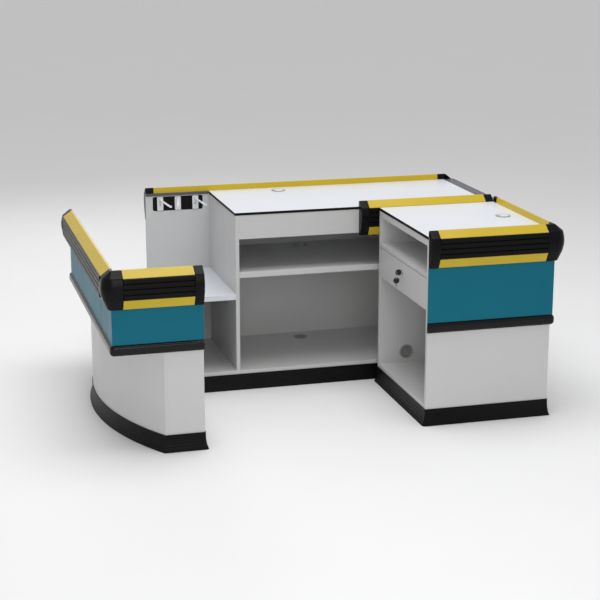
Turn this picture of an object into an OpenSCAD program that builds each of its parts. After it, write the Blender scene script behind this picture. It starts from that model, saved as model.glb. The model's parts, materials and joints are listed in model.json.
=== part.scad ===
// Checkout counter: a main body with a rounded left end, a cashier wing with a lockable drawer
// and a low bagging wing with a bumpered guard wall.
// Millimetres, +Z up. Customers pass on the -Y side, and the cashier stands between the wings
// on the +Y side. The origin is on the floor, under the centre of the overall plan.

/* [Main body] */
// Worktop surface above the floor
worktop_height = 850; // [750:5:950]
// Depth of the main body from its front face to the cashier side
main_depth = 592; // [500:1:800]
// Right end of the main body, measured from the bulge of its rounded left end
main_length = 1250; // [1000:5:1800]
// Right end of the full-height front wall
front_wall_end = 1566; // [1300:1:2200]
// Radius of the rounded left end
end_radius = 500; // [400:5:900]
// Distance from the front face to the centre of that radius
end_centre = 345; // [200:5:345]
// Flat flange on each side of the rounded panel
end_flange = 198; // [100:1:300]
// Width of the grey strip that edges the worktop over the rounded end
strip_width = 57; // [40:1:80]
// How far the grey strip overhangs the bulge of the rounded end
strip_overhang = 43; // [20:1:60]
// Underside of the shelf inside the cashier bay
shelf_bottom = 541; // [300:1:650]
// Height of the fixed apron below the worktop
apron_height = 113; // [60:1:160]

/* [Cashier wing] */
// Width of the cashier wing along X
wing_width = 577; // [450:1:700]
// Length of the cashier wing along Y
wing_length = 675; // [500:1:900]
// How far the wing's outer face stands out past the bulge of the rounded end
wing_offset = 10; // [0:1:20]
// Underside of the shelf above the drawer
wing_shelf_bottom = 665; // [600:1:720]
// Height of the cross rail under the wing's worktop
wing_rail_height = 30; // [20:1:60]

/* [Bagging wing] */
// Outer face of the guard wall along X
bag_end = 1936; // [1850:1:2400]
// Inner face of the bagging wing along X
bag_inner = 1562; // [1560:1:1700]
// Rear face of the bagging wing along Y
bag_length = 1350; // [1100:5:1600]
// Where the lower body's flat faces turn into its bowed side
bag_crease = 1730; // [1650:1:1800]
// How far the lower body's side bows out past the crease
bag_bulge = 200; // [100:5:200]
// Deck surface above the floor
deck_height = 463; // [400:1:600]
// How much lower the guard's bumper is than the worktop's
guard_drop = 80; // [0:5:120]
// Front edge of the guard wall along Y
guard_front = 20; // [18:1:60]

/* [Boards] */
// Thickness of the carcass boards
board = 18; // [15:1:25]
// Thickness of the worktops
worktop_board = 12; // [10:1:30]
// Thickness of the deck
deck_board = 25; // [18:1:30]
// Thickness of the cashier bay's shelf
shelf_board = 28; // [18:1:30]
// Thickness of the bent panels
bent_board = 9; // [6:1:12]
// Thickness of the coloured upper panels that lie on the white ones
upper_board = 8; // [3:1:12]
// Height of the gap between the floor and the vertical boards
board_gap = 20; // [10:1:30]
// Thickness of the black edge mouldings
edge_moulding = 2; // [1:0.5:3]

/* [Skirting and middle rail] */
// Top of the skirting
skirting_height = 75; // [60:1:120]
// Thickness of the skirting at its top
skirting_top = 4; // [3:1:8]
// How far the skirting flares out at the floor
skirting_foot = 16; // [8:1:25]
// Number of horizontal ribs on the skirting
skirting_ribs = 6; // [3:1:10]
// Depth of the grooves between the skirting's ribs
skirting_groove = 1.2; // [0.3:0.1:1.5]
// Bottom of the middle rail
rail_bottom = 423; // [380:1:500]
// Height of the middle rail
rail_height = 45; // [30:1:60]
// How far the middle rail stands out
rail_depth = 18; // [12:1:30]
// Bottom of the guard's middle rail
guard_rail_bottom = 437; // [400:1:500]

/* [Bumper] */
// Height of the bumper's ridge above the worktop
ridge_rise = 27; // [10:1:40]
// Overall height of the bumper profile
bumper_height = 160; // [120:1:200]
// How far the bumper's ribs stand out from the body
bumper_depth = 47; // [30:1:60]
// Height of the black ribbed band
band_height = 92; // [60:1:120]
// Number of ribs on the band
band_ribs = 4; // [2:1:6]
// Height of the lower coloured insert
lower_insert_height = 40; // [20:1:60]
// Thickness of the coloured inserts
insert_wall = 3; // [2:0.5:4]
// Wall of the hollow aluminium core
core_wall = 2.5; // [1.5:0.5:4]
// Length of a bumper end cap
cap_length = 40; // [30:1:60]
// How far the black caps stand proud of the bumper
cap_proud = 2; // [1:0.5:4]
// Right end of the bumper between the main body and the wing
middle_bumper_end = 653; // [600:1:900]

/* [Drawer] */
// Bottom of the drawer front
drawer_bottom_height = 522; // [480:1:560]
// Height of the drawer front
drawer_front_height = 140; // [100:1:180]
// Gap round the drawer front
drawer_gap = 2; // [1:0.5:4]
// Length of the drawer box behind its front
drawer_box_length = 480; // [350:5:500]
// Height of the drawer box
drawer_box_height = 90; // [60:1:110]
// Thickness of the drawer box's sides and back
drawer_side = 12; // [9:1:16]
// Thickness of the drawer's bottom panel
drawer_base = 5; // [3:1:8]
// Width of one runner, between the cabinet and the drawer box
runner_width = 13; // [10:0.5:15]
// Height of a runner
runner_height = 45; // [35:1:50]
// Length of a runner
runner_length = 450; // [300:10:500]
// Sheet thickness of a runner
runner_sheet = 1.5; // [1:0.1:2]

/* [Drawer lock] */
// Radius of the lock's housing through the drawer front
lock_radius = 9; // [7:0.5:12]
// Radius of the lock's bezel
bezel_radius = 11.5; // [9:0.5:15]
// Radius of the turning plug
plug_radius = 6; // [4:0.5:8]
// Length of the cam from the plug's axis
cam_length = 38; // [25:1:45]
// Running clearance between turning parts
running_clearance = 0.05; // [0.02:0.01:0.1]

/* [Bag hooks] */
// Length of the black hook rail
hook_rail_length = 250; // [200:1:300]
// Height of the hook rail
hook_rail_height = 71; // [50:1:80]
// Number of ribs on the hook rail
hook_rail_ribs = 5; // [3:1:8]
// Spacing of the hooks
hook_pitch = 88; // [60:1:120]
// Width of a white hook plate
hook_plate_width = 30; // [25:1:45]
// Length of a hook arm
hook_arm_length = 190; // [80:5:220]
// How far each arm is swung towards the wall's free end, from the outer hook inwards
hook_angles = [-5, 11, -4]; // [-10:1:15]

/* [Cable grommets] */
// Radius of the hole that a grommet fills
grommet_hole = 30; // [20:1:40]
// Radius of a grommet's opening
grommet_bore = 27; // [17:1:38]
// Radius of a grommet's flange
grommet_flange = 34; // [25:1:45]
// Height of a grommet's flange above its board
grommet_rise = 3; // [1:0.5:5]

/* [Hidden] */
$fn = 64;
arc_faces = 240;

// Colours
white = "whitesmoke";
teal = "teal";
yellow = "goldenrod";
black = "#202024";
grey = "slategray";
steel = "silver";

// Levels
joint_gap = 1;
seam_gap = 0.4;
worktop_bottom = worktop_height - worktop_board;
floor_top = skirting_height + board;
deck_bottom = deck_height - deck_board;
bumper_top = worktop_height + ridge_rise;
bumper_bottom = bumper_top - bumper_height;
upper_top = bumper_bottom - cap_proud - joint_gap;
upper_bottom = rail_bottom + rail_height + joint_gap;
guard_upper_bottom = guard_rail_bottom + rail_height + joint_gap;
rail_round = 15;
apron_bottom = worktop_bottom - apron_height;
guard_top = worktop_height - guard_drop;

// Plan of the main body. The crease is where the rounded end meets the flat front.
crease = end_radius - sqrt(pow(end_radius, 2) - pow(end_centre, 2));
rear_corner = end_radius - sqrt(pow(end_radius, 2) - pow(main_depth - end_centre, 2));
panel_seam = crease + end_flange;
bay_left = panel_seam;
bay_right = main_length - board;
strip_left = -strip_overhang;
strip_right = strip_left + strip_width;
front_strip_lip = 4;
front_strip_depth = board + front_strip_lip;
upper_trim = 8;

// Plan of the cashier wing
wing_left = -wing_offset;
wing_right = wing_left + wing_width;
wing_front = main_depth + bumper_depth + cap_proud + joint_gap;
wing_rear = wing_front + wing_length;
wing_in_left = wing_left + board;
wing_in_front = wing_front + board;
wing_in_rear = wing_rear - board;

// Plan of the bagging wing. Its bowed side is one arc from the front face to the rear face.
bow_half = bag_length / 2;
bow_radius = (pow(bow_half, 2) + pow(bag_bulge, 2)) / (2 * bag_bulge);
bow_centre = bag_crease + bag_bulge - bow_radius;

// Overall plan
plan_left = wing_left - bumper_depth - cap_proud;
plan_right = bag_end + bumper_depth + cap_proud;
plan_front = -bumper_depth - cap_proud;
plan_rear = bag_length + bumper_depth + cap_proud;
plan_centre = [(plan_left + plan_right) / 2, (plan_front + plan_rear) / 2, 0];
far = 3000;

// Bumper profile, as (distance out from the body, height)
rib_height = 6;
band_wall = 5;
band_face = bumper_depth - rib_height;
band_back = band_face - band_wall;
band_top = worktop_height - joint_gap;
band_bottom = band_top - band_height;
lower_lip = 22;
insert_shift = 1.2 * insert_wall;
ridge_outer = 3;
ridge_inner = -5;
lip_inner = -8;
ridge_shift = insert_wall - joint_gap;
rib_pitch = band_height / band_ribs;
rib_groove = 3;

// Drawer and lock
drawer_front_back = wing_right - board;
drawer_box_back = drawer_front_back - drawer_box_length;
drawer_box_lift = 10;
drawer_box_bottom = drawer_bottom_height + drawer_box_lift;
drawer_box_top = drawer_box_bottom + drawer_box_height;
drawer_left = wing_in_front + runner_width;
drawer_right = wing_in_rear - runner_width;
drawer_front_top = drawer_bottom_height + drawer_front_height;
runner_play = 2;
runner_setback = 4;
runner_bottom = drawer_box_bottom + (drawer_box_height - runner_height) / 2;
runner_front = drawer_front_back - runner_setback;
runner_air = 3;
runner_depth = runner_width - runner_air;
drawer_rail_height = runner_height - 2 * (runner_sheet + runner_play);
lock_y = (wing_front + wing_rear) / 2;
lock_drop = 44;
lock_z = drawer_front_top - lock_drop;
bezel_rise = 3;
plug_rise = 1;
plug_face = wing_right + bezel_rise + plug_rise;
lock_tail = 4;
housing_back = drawer_front_back - lock_tail;
cam_setback = 6;
plug_back = housing_back - cam_setback;
cam_sheet = 3;
cam_width = 10;
cam_back = plug_back - cam_sheet;
catch_sheet = 2;
catch_width = 26;
catch_clear = 15;
catch_face = housing_back - lock_tail;
keyway = [16, 2.4, 7.4];
key_blade = [14, 2, 7];
key_head_radius = 14;
key_head = 4;
key_hole = 3;
key_rim = 2;
key_eye = 2 * key_head_radius - key_hole - key_rim;
key_shoulder = plug_face + joint_gap;
key_ring_radius = 14;
key_ring_wire = 0.9;

// Bag hooks
hook_rail_gap = 4;
hook_rail_centre = [
    (main_length + front_wall_end) / 2,
    worktop_bottom - hook_rail_gap - hook_rail_height / 2
];
hook_pocket_depth = 8;
hook_rail_sheet = 6;
hook_plate_sheet = 4;
hook_rail_back = board - hook_pocket_depth;
hook_rail_front = hook_rail_back + hook_rail_sheet;
hook_rail_round = 10;
hook_rib = 1.5;
hook_plate_margin = 2;
hook_plate_height = hook_rail_height - 2 * hook_plate_margin;
hook_plate_front = hook_rail_front + hook_plate_sheet;
hook_pin_reach = 8;
hook_pin_rise = 20;
hook_screw_drop = 4;
hook_pivot = [hook_plate_front + hook_pin_reach, hook_rail_centre[1] + hook_pin_rise];
hook_screw_z = hook_rail_centre[1] - hook_screw_drop;
hook_pin = 2.5;
hook_hub = 6;
hook_hub_height = 14;
hook_lug = 4;
hook_bar = [10, 5];
hook_tip = 7;

// Cable grommets, as plan positions, and for the wing's front panel as (x, height)
main_cap_place = [915, 90];
wing_cap_place = [85, 975];
bay_hole_place = [807, 110];
partition_hole = [430, 144];
grommet_ledge = 2;
cap_disc = 3;
cap_notch = 14;
shelf_top = shelf_bottom + shelf_board;

// Levelling feet
foot_radius = 20;
foot_height = 10;
foot_stem = 5;
foot_flange = 15;
foot_flange_height = 4;
foot_taper = 3;
foot_inset = 50;
foot_places = [
    for (x = [bay_left + foot_inset, bay_right - foot_inset],
         y = [board + foot_inset, main_depth - board - foot_inset]) [x, y, 0],
    for (x = [wing_in_left + foot_inset, wing_right - board - foot_inset],
         y = [wing_in_front + foot_inset, wing_in_rear - foot_inset]) [x, y, 0],
    for (x = [main_length + 3 * foot_inset, bag_crease]) [x, bow_half / 2, 0],
    [bag_inner + board + foot_inset, bag_length - board - foot_inset, 0],
    [bag_crease + 2 * foot_inset, bow_half, 0]
];

// Screws: pan heads that hold the front panels and the hook plates
screw_shank = 2;
screw_length = 8;
screw_head = 4;
screw_head_height = 2;
panel_screw_inset = 130;
panel_screw_z = 215;
panel_screws = [
    for (x = [crease, main_length]) [x + panel_screw_inset, panel_screw_z]
];

// ---------- Shared helpers ----------

// Moves a piece from the counter's working corner to the shared frame, and colours it
module placed(colour) {
    color(colour) translate(-plan_centre) children();
}

// Box between two X, two Y and two Z values
module slab(x, y, z) {
    translate([x[0], y[0], z[0]]) cube([x[1] - x[0], y[1] - y[0], z[1] - z[0]]);
}

// Extrudes a plan shape between two heights
module raised(z) {
    translate([0, 0, z[0]]) linear_extrude(z[1] - z[0]) children();
}

// Sweeps a (distance out, height) profile in a straight line, with the body on the left
module run(from, to) {
    step = to - from;
    translate([from[0], from[1], 0])
        rotate([0, 0, atan2(step[1], step[0])])
            rotate([90, 0, 90])
                linear_extrude(norm(step)) mirror([1, 0]) children();
}

// Turns the same profile through a quarter circle about an outer corner of the body
module corner(at, normal) {
    translate([at[0], at[1], 0])
        rotate([0, 0, normal])
            rotate_extrude(angle = 90) intersection() {
                children();
                square([far, far]);
            }
}

// Turns the same profile about a distant centre, between two directions
module arc(centre, radius, turn) {
    translate([centre[0], centre[1], 0])
        rotate([0, 0, turn[0]])
            rotate_extrude(angle = turn[1] - turn[0], $fn = arc_faces)
                translate([radius, 0]) children();
}

// Moves a profile up or down
module lifted(height) {
    translate([0, height]) children();
}

// Rectangle with round corners, centred on the origin
module round_rect(size, radius) {
    square([size[0] - 2 * radius, size[1]], center = true);
    square([size[0], size[1] - 2 * radius], center = true);
    for (x = [-1, 1], y = [-1, 1])
        translate([x * (size[0] / 2 - radius), y * (size[1] / 2 - radius)]) circle(radius);
}

// Cylinder along +X from a starting point
module rod_x(at, radius, length) {
    translate(at) rotate([0, 90, 0]) cylinder(r = radius, h = length);
}

// Cylinder along +Y from a starting point
module rod_y(at, radius, length) {
    translate(at) rotate([-90, 0, 0]) cylinder(r = radius, h = length);
}

// ---------- Curved outlines in plan ----------

module end_disc(radius) {
    translate([end_radius, end_centre]) circle(radius, $fn = arc_faces);
}

module bow_disc(radius) {
    translate([bow_centre, bow_half]) circle(radius, $fn = arc_faces);
}

// Where outlines offset outwards from the rounded end and from the flat front meet
function end_mitre(out) =
    [end_radius - sqrt(pow(end_radius + out, 2) - pow(end_centre + out, 2)), -out];

// The same for the bowed side and the flat front
function bow_mitre(out) =
    [bow_centre + sqrt(pow(bow_radius + out, 2) - pow(bow_half + out, 2)), -out];

mitre_reach = 60;
end_turn = [90, 270];
bow_turn = [-90, 90];
left_mitre = end_mitre(mitre_reach);
right_mitre = bow_mitre(mitre_reach);

// Ground covered by parts that follow the rounded end
module rounded_end_zone() {
    polygon([
        [crease, 0], left_mitre, [-mitre_reach, -mitre_reach],
        [-mitre_reach, main_depth], [crease, main_depth]
    ]);
}

// Ground covered by parts that follow the flat front, between the two mitres
module front_zone() {
    polygon([left_mitre, right_mitre, [bag_crease, 0], [crease, 0]]);
}

// Ground covered by parts that follow the bowed side
module bowed_side_zone() {
    side = bag_crease + bag_bulge + mitre_reach;
    rear_mitre = [right_mitre[0], bag_length + mitre_reach];
    polygon([
        [bag_crease, 0], right_mitre, [side, -mitre_reach],
        [side, bag_length + mitre_reach], rear_mitre, [bag_crease, bag_length]
    ]);
}

// Ground covered by parts that follow the bagging wing's flat rear face, up to a mitred seam
module bagging_rear_zone() {
    polygon([
        [bag_inner, bag_length], [bag_crease - seam_gap, bag_length],
        [right_mitre[0] - seam_gap, bag_length + mitre_reach],
        [bag_inner, bag_length + mitre_reach]
    ]);
}

// Keeps only what stands over a given ground zone
module over(height) {
    intersection() {
        children(0);
        raised([-1, height]) children(1);
    }
}

// A profile carried round the rounded end
module rounded_end_sweep() {
    over(far) {
        arc([end_radius, end_centre], end_radius, end_turn) children();
        rounded_end_zone();
    }
}

// A profile carried along the flat front, mitred where the body turns
module front_sweep() {
    over(far) {
        run([crease - mitre_reach, 0], [bag_crease + mitre_reach, 0]) children();
        front_zone();
    }
}

// A profile carried round the bowed side
module bowed_side_sweep() {
    over(far) {
        arc([bow_centre, bow_half], bow_radius, bow_turn) children();
        bowed_side_zone();
    }
}

// ---------- Profiles, as (distance out, height) ----------

function skirting_out(share) = skirting_top + (skirting_foot - skirting_top) * pow(1 - share, 3);

// Flared, ribbed skirting
module skirting_profile() {
    steps = 2 * skirting_ribs;
    polygon([
        [0, joint_gap],
        for (i = [0 : steps])
            [skirting_out(i / steps) - (i % 2) * skirting_groove,
             joint_gap + (skirting_height - joint_gap) * i / steps],
        [0, skirting_height]
    ]);
}

// Round-nosed middle rail, standing on height 0
module rail_profile() {
    nose = rail_depth - rail_round;
    intersection() {
        union() {
            square([nose, rail_height]);
            translate([0, rail_round]) square([rail_depth, rail_height - 2 * rail_round]);
            for (z = [rail_round, rail_height - rail_round])
                translate([nose, z]) circle(rail_round);
        }
        square([rail_depth, rail_height]);
    }
}

// Ribbed black band of the bumper
module band_profile() {
    polygon([
        [band_back, band_bottom],
        for (rib = [0 : band_ribs - 1], side = [0, 1, 2, 3])
            [side == 0 || side == 3 ? band_face : bumper_depth,
             band_bottom + rib * rib_pitch
                 + [0, rib_groove, rib_pitch - rib_groove, rib_pitch][side]],
        [band_back, band_top]
    ]);
}

// Upper coloured insert: it slopes up to the ridge and comes down to the worktop
module upper_insert_profile() {
    polygon([
        [band_face, band_top], [ridge_outer, bumper_top], [ridge_inner, bumper_top],
        [lip_inner, worktop_height], [lip_inner + insert_shift, worktop_height],
        [ridge_inner + insert_wall, bumper_top - insert_wall],
        [ridge_shift, bumper_top - insert_wall], [band_back, band_top]
    ]);
}

// Lower coloured insert: it slopes back under the band to the body
module lower_insert_profile() {
    polygon([
        [0, bumper_bottom], [lower_lip, bumper_bottom], [band_face, band_bottom],
        [band_face - insert_shift, band_bottom],
        [lower_lip - insert_shift, bumper_bottom + insert_wall], [0, bumper_bottom + insert_wall]
    ]);
}

// Outside of the aluminium core
module core_outline() {
    polygon([
        [0, bumper_bottom + insert_wall], [lower_lip - insert_shift, bumper_bottom + insert_wall],
        [band_back, band_bottom], [band_back, band_top],
        [ridge_shift, bumper_top - insert_wall], [0, bumper_top - insert_wall]
    ]);
}

// Inside of the aluminium core
module core_hollow() {
    floor_z = bumper_bottom + insert_wall + core_wall;
    polygon([
        [core_wall, floor_z], [lower_lip - insert_shift - core_wall, floor_z],
        [band_back - core_wall, band_bottom + core_wall],
        [band_back - core_wall, band_top - 2 * core_wall],
        [core_wall, bumper_top - insert_wall - 3 * core_wall]
    ]);
}

module core_profile() {
    difference() {
        core_outline();
        core_hollow();
    }
}

// Rounded outline of the black caps
module cap_outline() {
    arc_steps = 10;
    proud = bumper_depth + cap_proud;
    polygon([
        [0, bumper_bottom - cap_proud],
        [lower_lip, bumper_bottom - cap_proud],
        for (i = [0 : arc_steps])
            [band_face + (proud - band_face) * sin(180 * i / arc_steps),
             band_bottom + band_height * i / arc_steps],
        [ridge_outer + cap_proud, bumper_top],
        [ridge_inner, bumper_top],
        [lip_inner, worktop_height],
        [0, worktop_height]
    ]);
}

// ---------- Bumper runs ----------

// Each straight bumper: start, end, drop below the worktop's bumper
nose_x = strip_left + bumper_depth + cap_proud;
front_bumper = [[nose_x + cap_length, 0], [front_wall_end - cap_length, 0], 0];
middle_bumper = [[middle_bumper_end - cap_length, main_depth], [wing_left + cap_length, main_depth], 0];
wing_end_bumper = [[wing_right - cap_length, wing_rear], [wing_left + cap_length, wing_rear], 0];
wing_side_bumper = [[wing_left, wing_rear - cap_length], [wing_left, wing_front + cap_length], 0];
guard_side_bumper = [[bag_end, guard_front + cap_length], [bag_end, bag_length - cap_length], guard_drop];
guard_end_bumper = [[bag_end - cap_length, bag_length], [bag_inner + cap_length, bag_length], guard_drop];
BUMPERS = [
    front_bumper, middle_bumper, wing_end_bumper, wing_side_bumper, guard_side_bumper,
    guard_end_bumper
];
CAPPED_AT_START = [middle_bumper, wing_end_bumper, guard_side_bumper];
CAPPED_AT_END = [front_bumper, middle_bumper, wing_side_bumper, guard_end_bumper];
cap_end_wall = 4;

// Sweeps one profile along every bumper
module along_bumpers() {
    for (bumper = BUMPERS) run(bumper[0], bumper[1]) lifted(-bumper[2]) children();
}

// Moulded cap over one end of a bumper. It is hollow, to grip the core's end.
module end_cap(bumper, at_start) {
    way = (bumper[1] - bumper[0]) / norm(bumper[1] - bumper[0]);
    mouth = at_start ? bumper[0] : bumper[1];
    tip = mouth + (at_start ? -1 : 1) * way * cap_length;
    inner_tip = tip + (at_start ? 1 : -1) * way * cap_end_wall;
    past_mouth = mouth + (at_start ? 1 : -1) * way;
    difference() {
        run(at_start ? tip : mouth, at_start ? mouth : tip) lifted(-bumper[2]) cap_outline();
        run(at_start ? inner_tip : past_mouth, at_start ? past_mouth : inner_tip)
            lifted(-bumper[2]) core_hollow();
    }
}

// Sweeps a profile round a corner, with straight leads before and after it
module corner_sweep(at, normal, leads) {
    before = at + leads[0] * [cos(normal - 90), sin(normal - 90)];
    after = at + leads[1] * [cos(normal + 180), sin(normal + 180)];
    corner(at, normal) children();
    if (leads[0] > 0) run(before, at) children();
    if (leads[1] > 0) run(at, after) children();
}

// Moulded cap round an outer corner, hollow like the end caps
module corner_cap(at, normal, drop, leads) {
    difference() {
        corner_sweep(at, normal, leads) lifted(-drop) cap_outline();
        corner_sweep(at, normal, [for (lead = leads) lead > 0 ? lead + 1 : 0])
            lifted(-drop) core_hollow();
    }
}

// ---------- Main body ----------

module main_front_panel() placed(white) {
    difference() {
        slab([panel_seam, front_wall_end], [0, board], [board_gap, worktop_bottom]);
        hook_pocket(hook_rail_back, board + 1);
        rod_y([panel_screws[1][0], -1, panel_screws[1][1]], screw_shank, screw_length + 1);
    }
}

module main_rounded_panel() placed(white) {
    difference() {
        raised([board_gap, worktop_bottom]) {
            intersection() {
                difference() {
                    end_disc(end_radius);
                    end_disc(end_radius - bent_board);
                }
                square([crease, main_depth]);
            }
            translate([crease, 0]) square([panel_seam - crease, bent_board]);
            translate([rear_corner, main_depth - bent_board])
                square([panel_seam - rear_corner, bent_board]);
        }
        rod_y([panel_screws[0][0], -1, panel_screws[0][1]], screw_shank, screw_length + 1);
    }
}

// The two upright boards at the ends of the cashier bay
module main_end_panels() placed(white) {
    levels = [board_gap, worktop_bottom];
    slab([bay_left - board, bay_left], [bent_board, main_depth - bent_board], levels);
    slab([bay_right, main_length], [board, main_depth], levels);
}

module main_floor_panel() placed(white) {
    difference() {
        slab([bay_left, bay_right], [board, main_depth], [skirting_height, floor_top]);
        translate(bay_hole_place) cylinder(r = grommet_hole, h = far);
    }
}

module main_shelf() placed(white) {
    difference() {
        slab([bay_left, bay_right], [board, main_depth], [shelf_bottom, shelf_top]);
        translate(bay_hole_place) cylinder(r = grommet_hole, h = far);
    }
}

module main_apron() placed(white) {
    slab([bay_left, bay_right], [main_depth - board, main_depth], [apron_bottom, worktop_bottom]);
}

module main_worktop() placed(white) {
    difference() {
        slab([strip_right, main_length], [0, main_depth], [worktop_bottom, worktop_height]);
        translate(main_cap_place) cylinder(r = grommet_hole, h = far);
    }
}

// Grey strips: one over the rounded end, and a narrow one along the top of the front wall
module grey_strips() placed(grey) {
    raised([worktop_bottom, worktop_height]) {
        translate([strip_left, 0]) square([strip_width, main_depth]);
        translate([strip_left, 0])
            square([wing_left - joint_gap - strip_left, wing_front - joint_gap]);
        translate([main_length, 0]) square([front_wall_end - main_length, front_strip_depth]);
    }
}

module upper_profile(z) {
    translate([0, z[0]]) square([upper_board, z[1] - z[0]]);
}

// Behind the bumper's first cap the panel on the rounded end goes up to the worktop
module main_upper_panels() placed(teal) {
    levels = [upper_bottom, upper_top];
    difference() {
        rounded_end_sweep() upper_profile([upper_bottom, worktop_bottom]);
        slab([-far, far], [-far, joint_gap], [upper_top, far]);
    }
    over(far) {
        front_sweep() upper_profile(levels);
        translate([-far, -far]) square([far + panel_seam - seam_gap / 2, 2 * far]);
    }
    slab([panel_seam + seam_gap / 2, front_wall_end], [-upper_board, 0], levels);
}

module customer_skirting() placed(black) {
    rounded_end_sweep() skirting_profile();
    front_sweep() skirting_profile();
}

module cashier_skirting() placed(black) {
    run([bag_inner, main_depth], [wing_right - 2 * skirting_foot, main_depth]) skirting_profile();
}

module main_middle_rail() placed(black) {
    rounded_end_sweep() lifted(rail_bottom) rail_profile();
    front_sweep() lifted(rail_bottom) rail_profile();
}

// Plinth boards behind the skirting wherever a floor panel's edge is open
module plinth_boards() placed(white) {
    levels = [board_gap, skirting_height];
    slab([bay_left, bay_right], [main_depth - board, main_depth], levels);
    slab([main_length, bag_inner + board], [main_depth - board, main_depth], levels);
    slab([bag_inner, bag_inner + board], [main_depth, bag_length - board], levels);
    slab([wing_right - board, wing_right], [wing_in_front, wing_in_rear], levels);
}

// Black mouldings on the tops' open edges and on the front edge of the wing's upper panel
module edge_mouldings() placed(black) {
    levels = [worktop_bottom, worktop_height];
    right = main_length + edge_moulding;
    slab([middle_bumper_end, right], [main_depth, main_depth + edge_moulding], levels);
    slab([main_length, right], [front_strip_depth, main_depth], levels);
    slab([wing_right, wing_right + edge_moulding], [wing_front, wing_rear - joint_gap], levels);
    slab([strip_left - edge_moulding, strip_left], [joint_gap, wing_front - joint_gap], levels);
    slab([wing_left - upper_board - edge_moulding, wing_left],
         [wing_front, wing_front + upper_trim], [upper_bottom, upper_top]);
}

// ---------- Cashier wing ----------

module wing_outer_panel() placed(white) {
    slab([wing_left, wing_in_left], [wing_in_front, wing_in_rear], [board_gap, worktop_bottom]);
}

module wing_end_panel() placed(white) {
    slab([wing_left, wing_right], [wing_in_rear, wing_rear], [board_gap, worktop_bottom]);
}

module wing_front_panel() placed(white) {
    difference() {
        slab([wing_left, wing_right], [wing_front, wing_in_front], [board_gap, worktop_bottom]);
        rod_y([partition_hole[0], wing_front - 1, partition_hole[1]], grommet_hole, board + 2);
    }
}

module wing_floor_panel() placed(white) {
    slab([wing_in_left, wing_right], [wing_in_front, wing_in_rear], [skirting_height, floor_top]);
}

module wing_shelf() placed(white) {
    slab([wing_in_left, wing_right], [wing_in_front, wing_in_rear],
         [wing_shelf_bottom, wing_shelf_bottom + board]);
}

module wing_cross_rail() placed(white) {
    slab([wing_right - board, wing_right], [wing_in_front, wing_in_rear],
         [worktop_bottom - wing_rail_height, worktop_bottom]);
}

module wing_worktop() placed(white) {
    difference() {
        slab([wing_left, wing_right], [wing_front, wing_rear], [worktop_bottom, worktop_height]);
        translate(wing_cap_place) cylinder(r = grommet_hole, h = far);
    }
}

module wing_upper_panels() placed(teal) {
    levels = [upper_bottom, upper_top];
    slab([wing_left - upper_board, wing_left],
         [wing_front + upper_trim, wing_rear + upper_board], levels);
    slab([wing_left, wing_right], [wing_rear, wing_rear + upper_board], levels);
}

module wing_skirting() placed(black) {
    width = [wing_width, 0];
    length = [0, wing_length];
    start = [wing_right, wing_front];
    corner_sweep(start + length, 0, [wing_length, wing_width]) skirting_profile();
    corner_sweep(start - width, 180, [wing_length, wing_width]) skirting_profile();
    corner(start + length - width, 90) skirting_profile();
    corner(start, -90) skirting_profile();
}

// The rails round the cashier wing and round the guard
module wing_middle_rails() placed(black) {
    corner_sweep([wing_left, wing_rear], 90, [wing_width, wing_length])
        lifted(rail_bottom) rail_profile();
    corner_sweep([bag_end, bag_length], 0, [bag_length - guard_front, bag_end - bag_inner])
        lifted(guard_rail_bottom) rail_profile();
}

// ---------- Bagging wing ----------

module bag_front_panel() placed(white) {
    raised([board_gap, deck_height]) intersection() {
        translate([front_wall_end, 0]) square([bag_crease - front_wall_end, board]);
        bow_disc(bow_radius - bent_board);
    }
}

module bag_bowed_panel() placed(white) {
    raised([board_gap, deck_bottom]) intersection() {
        difference() {
            bow_disc(bow_radius);
            bow_disc(bow_radius - bent_board);
        }
        translate([bag_inner, 0]) square([far, bag_length]);
    }
}

module bag_rear_panel() placed(white) {
    raised([board_gap, deck_bottom]) intersection() {
        translate([bag_inner, bag_length - board]) square([bag_crease - bag_inner, board]);
        bow_disc(bow_radius - bent_board);
    }
}

module bag_inner_panel() placed(white) {
    slab([bag_inner, bag_inner + board], [main_depth, bag_length - board],
         [floor_top, deck_bottom]);
}

module bag_floor_panel() placed(white) {
    raised([skirting_height, floor_top]) intersection() {
        union() {
            translate([main_length, board]) square([far, main_depth - board]);
            translate([bag_inner, board]) square([far, bag_length - 2 * board]);
        }
        bow_disc(bow_radius - bent_board);
    }
}

module bag_deck() placed(white) {
    raised([deck_bottom, deck_height]) {
        translate([main_length, board]) square([bag_end - main_length, main_depth - board]);
        translate([bag_inner, board]) square([bag_end - bag_inner, bag_length - board]);
    }
}

module guard_end_wall() placed(white) {
    slab([bag_end - board, bag_end], [guard_front, bag_length], [deck_height, guard_top]);
}

module guard_return_wall() placed(white) {
    slab([bag_inner, bag_end - board], [bag_length - board, bag_length], [deck_height, guard_top]);
}

module guard_upper_panels() placed(teal) {
    levels = [guard_upper_bottom, upper_top - guard_drop];
    slab([bag_end, bag_end + upper_board], [guard_front, bag_length + upper_board], levels);
    slab([bag_inner, bag_end], [bag_length, bag_length + upper_board], levels);
}

module bagging_skirting() placed(black) {
    bowed_side_sweep() skirting_profile();
    over(far) {
        run([bag_crease + mitre_reach, bag_length], [bag_inner, bag_length]) skirting_profile();
        bagging_rear_zone();
    }
    corner_sweep([bag_inner, bag_length], 90, [0, bag_length - main_depth - skirting_foot])
        skirting_profile();
}

// ---------- Bumpers ----------

module bumper_cores() placed(steel) along_bumpers() core_profile();

module bumper_bands() placed(black) along_bumpers() band_profile();

module bumper_upper_inserts() placed(yellow) along_bumpers() upper_insert_profile();

module bumper_lower_inserts() placed(yellow) along_bumpers() lower_insert_profile();

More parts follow.
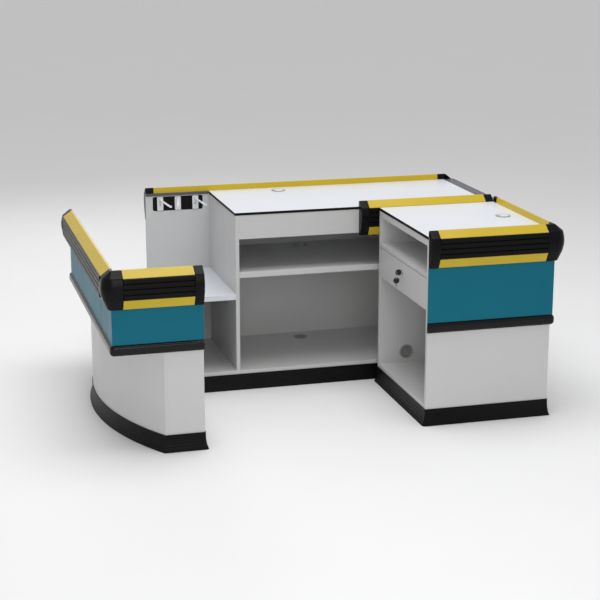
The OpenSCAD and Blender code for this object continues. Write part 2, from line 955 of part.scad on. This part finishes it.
module bumper_corner_caps() placed(black) {
    corner_cap([nose_x, 0], 180, 0, [0, cap_length]);
    corner_cap([wing_left, wing_rear], 90, 0, [cap_length, cap_length]);
    corner_cap([bag_end, bag_length], 0, guard_drop, [cap_length, cap_length]);
}

module bumper_end_caps() placed(black) {
    for (bumper = CAPPED_AT_START) end_cap(bumper, true);
    for (bumper = CAPPED_AT_END) end_cap(bumper, false);
}

// ---------- Drawer and its lock ----------

module drawer_front() placed(white) {
    difference() {
        slab([drawer_front_back, wing_right],
             [wing_in_front + drawer_gap, wing_in_rear - drawer_gap],
             [drawer_bottom_height, drawer_front_top]);
        rod_x([drawer_front_back - 1, lock_y, lock_z], lock_radius, board + 2);
    }
}

module drawer_box() placed(white) {
    levels = [drawer_box_bottom, drawer_box_top];
    slab([drawer_box_back, drawer_front_back], [drawer_left, drawer_left + drawer_side], levels);
    slab([drawer_box_back, drawer_front_back], [drawer_right - drawer_side, drawer_right], levels);
    slab([drawer_box_back, drawer_box_back + drawer_side],
         [drawer_left + drawer_side, drawer_right - drawer_side], levels);
}

module drawer_bottom() placed(white) {
    base = drawer_box_bottom + drawer_base;
    slab([drawer_box_back + drawer_side, drawer_front_back],
         [drawer_left + drawer_side, drawer_right - drawer_side], [base, base + drawer_base]);
}

// Channel of one runner: a web, and two flanges that reach towards +Y
module runner_channel(height) {
    x = [runner_front - runner_length, runner_front];
    slab(x, [0, runner_sheet], [0, height]);
    slab(x, [0, runner_depth], [0, runner_sheet]);
    slab(x, [0, runner_depth], [height - runner_sheet, height]);
}

module cabinet_runners() placed(steel) {
    translate([0, wing_in_front, runner_bottom]) runner_channel(runner_height);
    translate([0, wing_in_rear, runner_bottom])
        mirror([0, 1, 0]) runner_channel(runner_height);
}

module drawer_runners() placed(steel) {
    lift = runner_bottom + (runner_height - drawer_rail_height) / 2;
    translate([0, drawer_left, lift]) mirror([0, 1, 0]) runner_channel(drawer_rail_height);
    translate([0, drawer_right, lift]) runner_channel(drawer_rail_height);
}

module lock_housing() placed(steel) {
    difference() {
        union() {
            rod_x([housing_back, lock_y, lock_z], lock_radius, wing_right - housing_back);
            rod_x([wing_right, lock_y, lock_z], bezel_radius, bezel_rise);
        }
        rod_x([housing_back - 1, lock_y, lock_z], plug_radius + running_clearance, far);
    }
}

// The turning plug with its cam. The cam lies flat when the drawer is free to slide.
module lock_plug() placed(steel) {
    difference() {
        rod_x([plug_back, lock_y, lock_z], plug_radius, plug_face - plug_back);
        translate([plug_face - keyway[0], lock_y - keyway[1] / 2, lock_z - keyway[2] / 2])
            cube([far, keyway[1], keyway[2]]);
    }
    slab([cam_back, plug_back], [lock_y - cam_width, lock_y + cam_length],
         [lock_z - cam_width / 2, lock_z + cam_width / 2]);
}

// Key with its blade along -X. The origin is where the blade meets the head.
module key() {
    translate([-key_blade[0], -key_blade[1] / 2, -key_blade[2] / 2]) cube(key_blade);
    difference() {
        rod_y([key_head_radius, -key_head / 2, 0], key_head_radius, key_head);
        rod_y([key_eye, -key_head, 0], key_hole, 2 * key_head);
    }
}

module drawer_key() placed(black) {
    translate([key_shoulder, lock_y, lock_z]) key();
}

// The spare hangs from the first key's eye on a small ring
module spare_key() placed(black) {
    translate([key_shoulder + key_eye, lock_y, lock_z - key_ring_radius]) {
        rotate([0, 90, 0]) rotate_extrude()
            translate([key_ring_radius, 0]) circle(key_ring_wire);
        translate([0, 0, -key_ring_radius])
            rotate([0, -90, 0]) translate([-key_eye, 0, 0]) key();
    }
}

// Angle bracket under the shelf that the raised cam catches behind
module drawer_catch() placed(steel) {
    y = [lock_y - catch_width / 2, lock_y + catch_width / 2];
    slab([catch_face, catch_face + catch_sheet], y, [lock_z + catch_clear, wing_shelf_bottom]);
    slab([catch_face - catch_width, catch_face], y,
         [wing_shelf_bottom - catch_sheet, wing_shelf_bottom]);
}

// ---------- Bag hooks ----------

function hook_x(i) = hook_rail_centre[0] - i * hook_pitch;

module hook_pocket(from, to) {
    translate([hook_rail_centre[0], from, hook_rail_centre[1]])
        rotate([-90, 0, 0]) linear_extrude(to - from)
            round_rect([hook_rail_length, hook_rail_height], hook_rail_round);
}

module hook_rail() placed(black) {
    pitch = hook_rail_height / hook_rail_ribs;
    difference() {
        hook_pocket(hook_rail_back, hook_rail_front);
        for (rib = [1 : hook_rail_ribs - 1])
            slab([main_length, front_wall_end], [hook_rail_front - hook_rib, board],
                 [hook_rail_centre[1] - hook_rail_height / 2 + rib * pitch - hook_rib,
                  hook_rail_centre[1] - hook_rail_height / 2 + rib * pitch + hook_rib]);
        for (i = [-1 : 1])
            rod_y([hook_x(i), hook_rail_back - 1, hook_screw_z], screw_shank, far);
    }
}

// One plate with the two lugs that carry its arm's upright pin
module hook_plate() {
    lug_shift = hook_hub_height / 2 + joint_gap;
    difference() {
        union() {
            translate([0, hook_rail_front, hook_rail_centre[1]])
                rotate([-90, 0, 0]) linear_extrude(hook_plate_front - hook_rail_front)
                    round_rect([hook_plate_width, hook_plate_height], hook_lug);
            for (z = [hook_pivot[1] - lug_shift - hook_lug, hook_pivot[1] + lug_shift]) {
                translate([0, hook_pivot[0], z]) cylinder(r = hook_hub, h = hook_lug);
                slab([-hook_hub, hook_hub], [hook_plate_front, hook_pivot[0]], [z, z + hook_lug]);
            }
        }
        translate([0, hook_pivot[0], 0]) cylinder(r = hook_pin + running_clearance, h = far);
        rod_y([0, 0, hook_screw_z], screw_shank, far);
    }
}

module hook_plates() placed(white) {
    for (i = [-1 : 1]) translate([hook_x(i), 0, 0]) hook_plate();
}

// Arm number i, swung by its resting angle about its upright pin
module hook_arm(i) {
    pin_length = hook_hub_height + 2 * (joint_gap + hook_lug);
    translate([hook_x(i), hook_pivot[0], hook_pivot[1]]) rotate([0, 0, -hook_angles[i + 1]]) {
        cylinder(r = hook_hub, h = hook_hub_height, center = true);
        cylinder(r = hook_pin, h = pin_length, center = true);
        slab([-hook_bar[0] / 2, hook_bar[0] / 2], [0, hook_arm_length],
             [-hook_bar[1] / 2, hook_bar[1] / 2]);
        slab([-hook_bar[0] / 2, hook_bar[0] / 2], [hook_arm_length - hook_bar[1], hook_arm_length],
             [-hook_bar[1] / 2, hook_tip]);
    }
}

module hook_arm_outer() placed(white) hook_arm(-1);

module hook_arm_middle() placed(white) hook_arm(0);

module hook_arm_inner() placed(white) hook_arm(1);

// ---------- Fittings ----------

// Pan-head screw along +Y, with the underside of its head at the origin
module screw() {
    rod_y([0, 0, 0], screw_shank, screw_length);
    rod_y([0, -screw_head_height, 0], screw_head, screw_head_height);
}

module fixing_screws() placed(steel) {
    for (at = panel_screws) translate([at[0], 0, at[1]]) screw();
    for (i = [-1 : 1])
        translate([hook_x(i), hook_plate_front, hook_screw_z]) rotate([0, 0, 180]) screw();
}

// Grommet for a board of a given thickness, with the board's top at the origin
module grommet(thickness, with_ledge) {
    difference() {
        union() {
            cylinder(r = grommet_flange, h = grommet_rise);
            translate([0, 0, -thickness]) cylinder(r = grommet_hole, h = thickness);
        }
        translate([0, 0, with_ledge ? grommet_ledge - thickness : -far])
            cylinder(r = grommet_bore, h = 2 * far);
        translate([0, 0, -far]) cylinder(r = grommet_bore - grommet_ledge, h = 2 * far);
    }
}

module cable_grommets() placed(grey) {
    translate(concat(main_cap_place, worktop_height)) grommet(worktop_board, true);
    translate(concat(wing_cap_place, worktop_height)) grommet(worktop_board, true);
    translate(concat(bay_hole_place, shelf_top)) grommet(shelf_board, false);
    translate(concat(bay_hole_place, floor_top)) grommet(board, false);
    translate([partition_hole[0], wing_in_front, partition_hole[1]])
        rotate([-90, 0, 0]) grommet(board, false);
}

// Turning cover of a grommet, with a notch for the cables
module grommet_cap(place) {
    radius = grommet_bore - running_clearance;
    bottom = grommet_ledge - worktop_board;
    translate(concat(place, worktop_height)) difference() {
        translate([0, 0, bottom]) cylinder(r = radius, h = grommet_rise - bottom);
        translate([0, 0, bottom - 1])
            cylinder(r = radius - cap_disc, h = grommet_rise - cap_disc - bottom + 1);
        translate([radius - cap_notch, -cap_notch / 2, -far])
            cube([far, cap_notch, 2 * far]);
    }
}

module main_grommet_cap() placed(white) grommet_cap(main_cap_place);

module wing_grommet_cap() placed(white) grommet_cap(wing_cap_place);

module levelling_foot() {
    cylinder(r1 = foot_radius, r2 = foot_radius - foot_taper, h = foot_height);
    cylinder(r = foot_stem, h = skirting_height);
    translate([0, 0, skirting_height - foot_flange_height])
        cylinder(r = foot_flange, h = foot_flange_height);
}

module levelling_feet() placed(black) {
    for (at = foot_places) translate(at) levelling_foot();
}

main_front_panel();
main_rounded_panel();
main_end_panels();
main_floor_panel();
main_shelf();
main_apron();
main_worktop();
grey_strips();
main_upper_panels();
wing_outer_panel();
wing_end_panel();
wing_front_panel();
wing_floor_panel();
wing_shelf();
wing_cross_rail();
wing_worktop();
wing_upper_panels();
edge_mouldings();
plinth_boards();
bag_front_panel();
bag_bowed_panel();
bag_rear_panel();
bag_inner_panel();
bag_floor_panel();
bag_deck();
guard_end_wall();
guard_return_wall();
guard_upper_panels();
customer_skirting();
bagging_skirting();
cashier_skirting();
wing_skirting();
main_middle_rail();
wing_middle_rails();
fixing_screws();
bumper_cores();
bumper_bands();
bumper_upper_inserts();
bumper_lower_inserts();
bumper_corner_caps();
bumper_end_caps();
drawer_front();
drawer_box();
drawer_bottom();
drawer_runners();
cabinet_runners();
lock_housing();
lock_plug();
drawer_key();
spare_key();
drawer_catch();
hook_rail();
hook_plates();
hook_arm_outer();
hook_arm_middle();
hook_arm_inner();
cable_grommets();
main_grommet_cap();
wing_grommet_cap();
levelling_feet();
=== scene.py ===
"""Looks for the checkout counter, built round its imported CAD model.

Every length is in metres, in the frame of the CAD model: the floor is Z = 0, customers pass on the -Y side
and the cashier stands on the +Y side.
"""

import math

import bpy
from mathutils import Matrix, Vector
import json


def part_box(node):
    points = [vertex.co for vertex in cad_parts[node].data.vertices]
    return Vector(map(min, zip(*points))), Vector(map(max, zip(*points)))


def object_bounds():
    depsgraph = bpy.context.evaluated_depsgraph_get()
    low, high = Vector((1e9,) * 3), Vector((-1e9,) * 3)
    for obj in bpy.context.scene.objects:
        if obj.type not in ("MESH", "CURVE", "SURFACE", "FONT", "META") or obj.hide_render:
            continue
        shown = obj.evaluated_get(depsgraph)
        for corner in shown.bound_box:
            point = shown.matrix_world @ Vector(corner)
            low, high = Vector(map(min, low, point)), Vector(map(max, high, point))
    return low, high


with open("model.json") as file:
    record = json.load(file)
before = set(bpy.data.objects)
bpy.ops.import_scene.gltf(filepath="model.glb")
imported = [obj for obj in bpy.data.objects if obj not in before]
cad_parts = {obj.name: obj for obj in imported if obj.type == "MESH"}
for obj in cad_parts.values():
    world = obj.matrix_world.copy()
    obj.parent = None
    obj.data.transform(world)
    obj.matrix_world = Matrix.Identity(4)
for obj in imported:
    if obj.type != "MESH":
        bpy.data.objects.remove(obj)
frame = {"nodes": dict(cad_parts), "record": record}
nodes = frame["nodes"]
record = frame["record"]
cad_low, cad_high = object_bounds()
centre = (cad_low + cad_high) / 2
length = cad_high.x - cad_low.x
MM = 0.001


# ---------- Material graphs ----------


class Graph:
    """A material's node tree, with short names for the nodes that the finishes share."""

    def __init__(self, name):
        self.material = bpy.data.materials.new(name)
        self.material.use_nodes = True
        self.tree = self.material.node_tree
        self.shader = self.tree.nodes["Principled BSDF"]
        self.place = self.node("ShaderNodeTexCoord").outputs["Object"]

    def node(self, kind, **settings):
        made = self.tree.nodes.new(kind)
        for name, value in settings.items():
            setattr(made, name, value)
        return made

    def plug(self, value, socket):
        """Links an output to a socket, or sets the socket to a plain value."""
        if isinstance(value, bpy.types.NodeSocket):
            self.tree.links.new(value, socket)
        else:
            socket.default_value = value

    def set(self, **inputs):
        """Sets inputs of the Principled shader, with underscores for the spaces in their names."""
        for name, value in inputs.items():
            self.plug(value, self.shader.inputs[name.replace("_", " ")])

    def math(self, operation, first, second=0.0):
        made = self.node("ShaderNodeMath", operation=operation)
        self.plug(first, made.inputs[0])
        self.plug(second, made.inputs[1])
        return made.outputs[0]

    def spread(self, value, low, high, to_low=0.0, to_high=1.0):
        """Maps low..high onto to_low..to_high and clamps the result."""
        made = self.node("ShaderNodeMapRange", clamp=True)
        for socket, number in zip(made.inputs, (value, low, high, to_low, to_high)):
            self.plug(number, socket)
        return made.outputs[0]

    def stretched(self, stretch):
        """The object's coordinates, scaled along each axis."""
        made = self.node("ShaderNodeMapping")
        self.plug(self.place, made.inputs["Vector"])
        made.inputs["Scale"].default_value = stretch
        return made.outputs[0]

    def noise(self, scale, detail=3.0, roughness=0.5, stretch=(1, 1, 1)):
        made = self.node("ShaderNodeTexNoise")
        self.plug(self.stretched(stretch), made.inputs["Vector"])
        made.inputs["Scale"].default_value = scale
        made.inputs["Detail"].default_value = detail
        made.inputs["Roughness"].default_value = roughness
        return made.outputs[0]

    def mix(self, share, first, second):
        made = self.node("ShaderNodeMix", data_type="RGBA")
        self.plug(share, made.inputs["Factor"])
        self.plug(first, made.inputs["A"])
        self.plug(second, made.inputs["B"])
        return made.outputs["Result"]

    def edges(self, radius):
        """1 on convex and concave edges, fading to 0 at the given radius."""
        rounded = self.node("ShaderNodeBevel", samples=4)
        rounded.inputs["Radius"].default_value = radius
        true_normal = self.node("ShaderNodeNewGeometry").outputs["Normal"]
        dot = self.node("ShaderNodeVectorMath", operation="DOT_PRODUCT")
        self.plug(rounded.outputs[0], dot.inputs[0])
        self.plug(true_normal, dot.inputs[1])
        return self.spread(dot.outputs["Value"], low=1.0, high=0.85)

    def within(self, middle, radius):
        """1 inside a sphere, in the object's coordinates."""
        apart = self.node("ShaderNodeVectorMath", operation="DISTANCE")
        self.plug(self.place, apart.inputs[0])
        apart.inputs[1].default_value = middle
        return self.math("LESS_THAN", apart.outputs["Value"], radius)

    def bump(self, height, depth):
        """Bump from a height of 0..1 over the given depth."""
        made = self.node("ShaderNodeBump")
        made.inputs["Strength"].default_value = 1.0
        made.inputs["Distance"].default_value = depth
        self.plug(height, made.inputs["Height"])
        self.set(Normal=made.outputs[0])


def rgb(red, green, blue):
    """A colour as a screen shows it (0..255), in the linear values that shaders use."""

    def linear(value):
        share = value / 255
        return share / 12.92 if share <= 0.04045 else ((share + 0.055) / 1.055) ** 2.4

    return (linear(red), linear(green), linear(blue), 1.0)


def darker(colour, share=0.8):
    """A colour with that share of its light."""
    return tuple(share * part for part in colour[:3]) + (1.0,)


def dulled(graph, clean, dirty, amount=0.5):
    """A colour with broad, soft patches of handling marks and dust."""
    patches = graph.noise(scale=2.5, detail=4.0, roughness=0.55)
    share = graph.spread(patches, low=0.35, high=0.75, to_high=amount)
    return graph.mix(share, clean, dirty)


def rubbed(graph, colour, bare, radius, amount):
    """A colour that turns towards another one on the edges, up to the given amount."""
    worn = graph.math("MULTIPLY", graph.edges(radius), amount)
    return graph.mix(worn, colour, bare)


def between(graph, noise, low, high):
    """A value that follows the middle part of a noise from low to high."""
    return graph.spread(noise, low=0.3, high=0.7, to_low=low, to_high=high)


# ---------- Finishes ----------

BLACK = rgb(9, 8, 10)
BLACK_DUST = rgb(17, 16, 18)
SKIRTING_DUST = rgb(24, 22, 22)
CAP_BLACK = rgb(10, 9, 13)
HOOK_RAIL_BLACK = rgb(15, 14, 14)
STRIP_GREY = rgb(76, 77, 88)
HOOK_WHITE = rgb(228, 229, 234)
GROMMET_GREY = rgb(152, 152, 149)
GROMMET_WHITE = rgb(220, 222, 224)
ALUMINIUM = rgb(200, 202, 206)
ZINC = rgb(190, 192, 196)
CHROME = rgb(214, 214, 216)


def white_board():
    """Satin melamine on the carcass boards."""
    graph = Graph("white_board")
    colour = dulled(graph, rgb(201, 201, 201), rgb(193, 193, 191))
    streaks = graph.noise(scale=9.0, detail=6.0, stretch=(1, 1, 0.15))
    graph.set(
        Base_Color=rubbed(graph, colour, rgb(166, 165, 162), radius=1.5 * MM, amount=0.35),
        Roughness=between(graph, streaks, 0.3, 0.42),
    )
    graph.bump(graph.noise(scale=900.0, detail=2.0), depth=0.04 * MM)
    return graph.material


def white_worktop():
    """Semi-gloss laminate on the tops."""
    graph = Graph("white_worktop")
    colour = dulled(graph, rgb(219, 222, 229), rgb(213, 216, 222))
    scuffs = graph.noise(scale=5.0, detail=3.0, stretch=(1, 0.4, 1))
    graph.set(
        Base_Color=colour,
        Roughness=between(graph, scuffs, 0.28, 0.32),
    )
    graph.bump(graph.noise(scale=700.0, detail=2.0), depth=0.02 * MM)
    return graph.material


def teal_panel():
    """Satin teal laminate, a little lighter along handled edges."""
    graph = Graph("teal_panel")
    colour = dulled(graph, rgb(10, 103, 124), rgb(15, 108, 129))
    streaks = graph.noise(scale=7.0, detail=6.0, stretch=(1, 1, 0.2))
    graph.set(
        Base_Color=rubbed(graph, colour, rgb(62, 132, 146), radius=1.2 * MM, amount=0.4),
        Roughness=between(graph, streaks, 0.34, 0.44),
        Specular_IOR_Level=0.15,
    )
    graph.bump(graph.noise(scale=600.0, detail=2.0), depth=0.05 * MM)
    return graph.material


def yellow_insert():
    """Extruded PVC, with the faint drawing lines of an extrusion."""
    graph = Graph("yellow_insert")
    colour = dulled(graph, rgb(196, 169, 24), rgb(187, 158, 28))
    scuffs = graph.noise(scale=30.0, detail=5.0)
    graph.set(
        Base_Color=rubbed(graph, colour, rgb(212, 194, 104), radius=1.0 * MM, amount=0.3),
        Roughness=between(graph, scuffs, 0.3, 0.42),
        Specular_IOR_Level=0.4,
    )
    graph.bump(graph.noise(scale=420.0, detail=2.0, stretch=(0.02, 0.02, 1)), depth=0.05 * MM)
    return graph.material


def black_plastic(
    name, roughness, grain, grain_depth, colour=BLACK, dust=BLACK_DUST, gloss=0.12
):
    """Black plastic with a little dust and grey rubbed edges."""
    graph = Graph(name)
    base = dulled(graph, colour, dust)
    speckle = graph.noise(scale=60.0, detail=4.0)
    graph.set(
        Base_Color=rubbed(graph, base, rgb(52, 52, 57), radius=1.0 * MM, amount=0.25),
        Roughness=between(graph, speckle, roughness - 0.04, roughness + 0.06),
        Specular_IOR_Level=gloss,
    )
    graph.bump(graph.noise(scale=grain, detail=2.0), depth=grain_depth)
    return graph.material


def metal(name, colour, roughness, stretch):
    """Bare or plated metal, with fine lines along one direction."""
    graph = Graph(name)
    lines = graph.noise(scale=500.0, detail=3.0, stretch=stretch)
    graph.set(
        Base_Color=graph.mix(lines, darker(colour), colour),
        Metallic=1.0,
        Roughness=between(graph, lines, roughness - 0.05, roughness + 0.08),
    )
    graph.bump(lines, depth=0.02 * MM)
    return graph.material


def moulded(name, colour, roughness):
    """Light moulded plastic or powder coat, with a fine orange peel."""
    graph = Graph(name)
    dirty = darker(colour)
    base = dulled(graph, colour, dirty, amount=0.4)
    speckle = graph.noise(scale=40.0, detail=4.0)
    graph.set(
        Base_Color=rubbed(graph, base, dirty, radius=0.8 * MM, amount=0.3),
        Roughness=between(graph, speckle, roughness - 0.05, roughness + 0.07),
    )
    graph.bump(graph.noise(scale=500.0, detail=2.0), depth=0.05 * MM)
    return graph.material


def moulded_keys(heads, radius):
    """Steel keys with black plastic heads, each a disc about one of the given middles."""
    graph = Graph("key_head")
    plastic = graph.within(heads[0], radius)
    for head in heads[1:]:
        plastic = graph.math("MAXIMUM", plastic, graph.within(head, radius))
    lines = graph.noise(scale=900.0, detail=2.0)
    steel = graph.mix(lines, rgb(150, 150, 152), rgb(190, 190, 192))
    graph.set(
        Base_Color=graph.mix(plastic, steel, rgb(16, 15, 17)),
        Metallic=graph.math("SUBTRACT", 1.0, plastic),
        Roughness=between(graph, lines, 0.28, 0.38),
    )
    graph.bump(lines, depth=0.02 * MM)
    return graph.material


def key_heads():
    """The middles of the two keys' heads, and their radius."""
    low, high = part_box("drawer_key")
    radius = (high.z - low.z) / 2
    blade = high.x - low.x - 2 * radius
    first_head = Vector((high.x - radius, (low.y + high.y) / 2, (low.z + high.z) / 2))
    low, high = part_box("spare_key")
    spare_head = Vector(((low.x + high.x) / 2, (low.y + high.y) / 2, low.z + blade + radius))
    return [first_head, spare_head], radius


FINISHES = {
    "white_board": white_board(),
    "white_worktop": white_worktop(),
    "teal_panel": teal_panel(),
    "yellow_insert": yellow_insert(),
    "grey_strip": moulded("grey_strip", STRIP_GREY, roughness=0.34),
    "black_edging": black_plastic(
        "black_edging", roughness=0.4, grain=600.0, grain_depth=0.03 * MM
    ),
    "black_skirting": black_plastic(
        "black_skirting", roughness=0.38, grain=500.0, grain_depth=0.05 * MM, dust=SKIRTING_DUST
    ),
    "black_rail": black_plastic(
        "black_rail", roughness=0.24, grain=500.0, grain_depth=0.01 * MM, gloss=0.25
    ),
    "bumper_band": black_plastic(
        "bumper_band", roughness=0.34, grain=500.0, grain_depth=0.04 * MM
    ),
    "bumper_cap": black_plastic(
        "bumper_cap", roughness=0.28, grain=350.0, grain_depth=0.05 * MM, colour=CAP_BLACK
    ),
    "bumper_core": metal("bumper_core", ALUMINIUM, roughness=0.35, stretch=(0.02, 0.02, 1)),
    "zinc_steel": metal("zinc_steel", ZINC, roughness=0.32, stretch=(1, 0.05, 1)),
    "lock_metal": metal("lock_metal", CHROME, roughness=0.18, stretch=(1, 1, 1)),
    "key_head": moulded_keys(*key_heads()),
    "hook_rail_black": black_plastic(
        "hook_rail_black", roughness=0.4, grain=600.0, grain_depth=0.05 * MM, colour=HOOK_RAIL_BLACK
    ),
    "white_hook": moulded("white_hook", HOOK_WHITE, roughness=0.3),
    "grommet_grey": moulded("grommet_grey", GROMMET_GREY, roughness=0.36),
    "grommet_cap": moulded("grommet_cap", GROMMET_WHITE, roughness=0.34),
    "foot_black": black_plastic("foot_black", roughness=0.5, grain=500.0, grain_depth=0.05 * MM),
}


# ---------- CAD nodes: clean, rounded edges and a finish ----------


def smoothing_group(angle):
    """Geometry nodes that shade a mesh smooth except at edges sharper than the angle."""
    group = bpy.data.node_groups.new("smooth_below_angle", "GeometryNodeTree")
    group.interface.new_socket("Geometry", in_out="INPUT", socket_type="NodeSocketGeometry")
    group.interface.new_socket("Geometry", in_out="OUTPUT", socket_type="NodeSocketGeometry")
    entry = group.nodes.new("NodeGroupInput")
    leave = group.nodes.new("NodeGroupOutput")
    faces = group.nodes.new("GeometryNodeSetShadeSmooth")
    faces.domain = "FACE"
    sharp = group.nodes.new("GeometryNodeSetShadeSmooth")
    sharp.domain = "EDGE"
    sharp.inputs["Shade Smooth"].default_value = False
    turn = group.nodes.new("GeometryNodeInputMeshEdgeAngle")
    wide = group.nodes.new("FunctionNodeCompare")
    wide.inputs[1].default_value = angle
    group.links.new(entry.outputs[0], faces.inputs["Geometry"])
    group.links.new(faces.outputs[0], sharp.inputs["Geometry"])
    group.links.new(turn.outputs["Unsigned Angle"], wide.inputs[0])
    group.links.new(wide.outputs[0], sharp.inputs["Selection"])
    group.links.new(sharp.outputs[0], leave.inputs[0])
    return group


WELD_DISTANCE = 0.005 * MM
FLAT_ANGLE = math.radians(0.1)
ROUNDED_ANGLE = math.radians(35)
ROUND_SEGMENTS = 3


def round_edges(obj, width, smoothing):
    """Joins a CAD mesh's faces, merges its flat triangles and rounds its sharp edges."""
    weld = obj.modifiers.new("weld", "WELD")
    weld.merge_threshold = WELD_DISTANCE
    flat = obj.modifiers.new("flat", "DECIMATE")
    flat.decimate_type = "DISSOLVE"
    flat.angle_limit = FLAT_ANGLE
    if width > 0:
        bevel = obj.modifiers.new("round", "BEVEL")
        bevel.width = width
        bevel.segments = ROUND_SEGMENTS
        bevel.limit_method = "ANGLE"
        bevel.angle_limit = ROUNDED_ANGLE
        bevel.use_clamp_overlap = False
    shade = obj.modifiers.new("shade", "NODES")
    shade.node_group = smoothing
    normals = obj.modifiers.new("normals", "WEIGHTED_NORMAL")
    normals.mode = "FACE_AREA"
    normals.keep_sharp = True


def strip_normals(mesh):
    """Drops the normals that came with the file, so that the rounded edges shade by themselves."""
    found = mesh.attributes.get("custom_normal")
    if found:
        mesh.attributes.remove(found)


SOFT_EDGE = 0.6 * MM

# The width of the rounding in each slot. Slots that are not named here keep their sharp edges.
EDGE_WIDTHS = {
    "white_board": SOFT_EDGE,
    "white_worktop": SOFT_EDGE,
    "teal_panel": SOFT_EDGE,
    "grey_strip": SOFT_EDGE,
    "yellow_insert": SOFT_EDGE,
    "black_edging": 0.3 * MM,
    "bumper_band": 1.6 * MM,
    "bumper_cap": 3.0 * MM,
    "hook_rail_black": 0.4 * MM,
    "white_hook": SOFT_EDGE,
    "grommet_grey": SOFT_EDGE,
    "grommet_cap": SOFT_EDGE,
}

# Edges sharper than these angles stay sharp. The skirting's shallow ribs need the lower one.
SOFT_SHADING = smoothing_group(math.radians(34))
RIB_SHADING = smoothing_group(math.radians(6))

for row in record["subparts"]:
    obj = nodes[row["node"]]
    slot = row["material_slot"]
    obj.data.materials.clear()
    obj.data.materials.append(FINISHES[slot])
    strip_normals(obj.data)
    smoothing = RIB_SHADING if slot == "black_skirting" else SOFT_SHADING
    round_edges(obj, EDGE_WIDTHS.get(slot, 0.0), smoothing)


# ---------- Studio ----------


FLOOR_REACH = 30 * length
LAMP_DISTANCE = 2.4 * length


def studio_floor():
    """A plain pale floor that runs out of sight."""
    graph = Graph("studio_floor")
    graph.set(
        Base_Color=graph.mix(graph.noise(scale=2.0), rgb(243, 243, 243), rgb(246, 246, 246)),
        Roughness=0.6,
    )
    mesh = bpy.data.meshes.new("studio_floor")
    signs = [(-1, -1), (1, -1), (1, 1), (-1, 1)]
    corners = [(x * FLOOR_REACH, y * FLOOR_REACH, 0) for x, y in signs]
    mesh.from_pydata(corners, [], [range(len(corners))])
    floor = bpy.data.objects.new("studio_floor", mesh)
    floor.data.materials.append(graph.material)
    bpy.context.scene.collection.objects.link(floor)


def aimed(obj, place, target):
    """Puts an object somewhere and turns its -Z axis to a target."""
    obj.location = place
    obj.rotation_mode = "QUATERNION"
    obj.rotation_quaternion = (Vector(target) - Vector(place)).to_track_quat("-Z", "Y")
    bpy.context.scene.collection.objects.link(obj)


def around(azimuth, elevation, distance):
    """A place seen from the centre of the counter. Azimuth 0 is in front, and 90 is to the right."""
    turn, lift = math.radians(azimuth), math.radians(elevation)
    flat = math.cos(lift)
    return centre + distance * Vector(
        (math.sin(turn) * flat, -math.cos(turn) * flat, math.sin(lift))
    )


def soft_light(name, azimuth, elevation, distance, size, power):
    """A round lamp that faces the counter, with its power in watts."""
    lamp = bpy.data.lights.new(name, "AREA")
    lamp.shape = "DISK"
    lamp.size = size
    lamp.energy = power
    aimed(bpy.data.objects.new(name, lamp), around(azimuth, elevation, distance), centre)


def studio_world(light, backdrop):
    """Even light from all sides. The camera itself sees a brighter backdrop."""
    world = bpy.data.worlds.new("studio")
    world.use_nodes = True
    tree = world.node_tree
    sky = tree.nodes["Background"]
    sky.inputs["Color"].default_value = rgb(250, 250, 250)
    rays = tree.nodes.new("ShaderNodeLightPath")
    strength = tree.nodes.new("ShaderNodeMapRange")
    strength.inputs["To Min"].default_value = light
    strength.inputs["To Max"].default_value = backdrop
    tree.links.new(rays.outputs["Is Camera Ray"], strength.inputs["Value"])
    tree.links.new(strength.outputs["Result"], sky.inputs["Strength"])
    bpy.context.scene.world = world


studio_floor()
studio_world(light=0.6, backdrop=0.88)
soft_light(
    "overhead",
    azimuth=180,
    elevation=84,
    distance=1.9 * length,
    size=1.6 * length,
    power=90.0,
)
soft_light("rear_key", azimuth=172, elevation=18, distance=LAMP_DISTANCE, size=length, power=30.0)
soft_light("front_key", azimuth=12, elevation=30, distance=LAMP_DISTANCE, size=length, power=28.0)

VIEW_AZIMUTH = 164.7
VIEW_ELEVATION = 14.6
VIEW_DISTANCE = 3.5 * length
VIEW_LENS = 92.0
camera = bpy.data.cameras.new("camera")
camera.lens = VIEW_LENS
camera_object = bpy.data.objects.new("camera", camera)
aimed(camera_object, around(VIEW_AZIMUTH, VIEW_ELEVATION, VIEW_DISTANCE), centre)
bpy.context.scene.camera = camera_object
bpy.context.scene.view_settings.view_transform = "Standard"
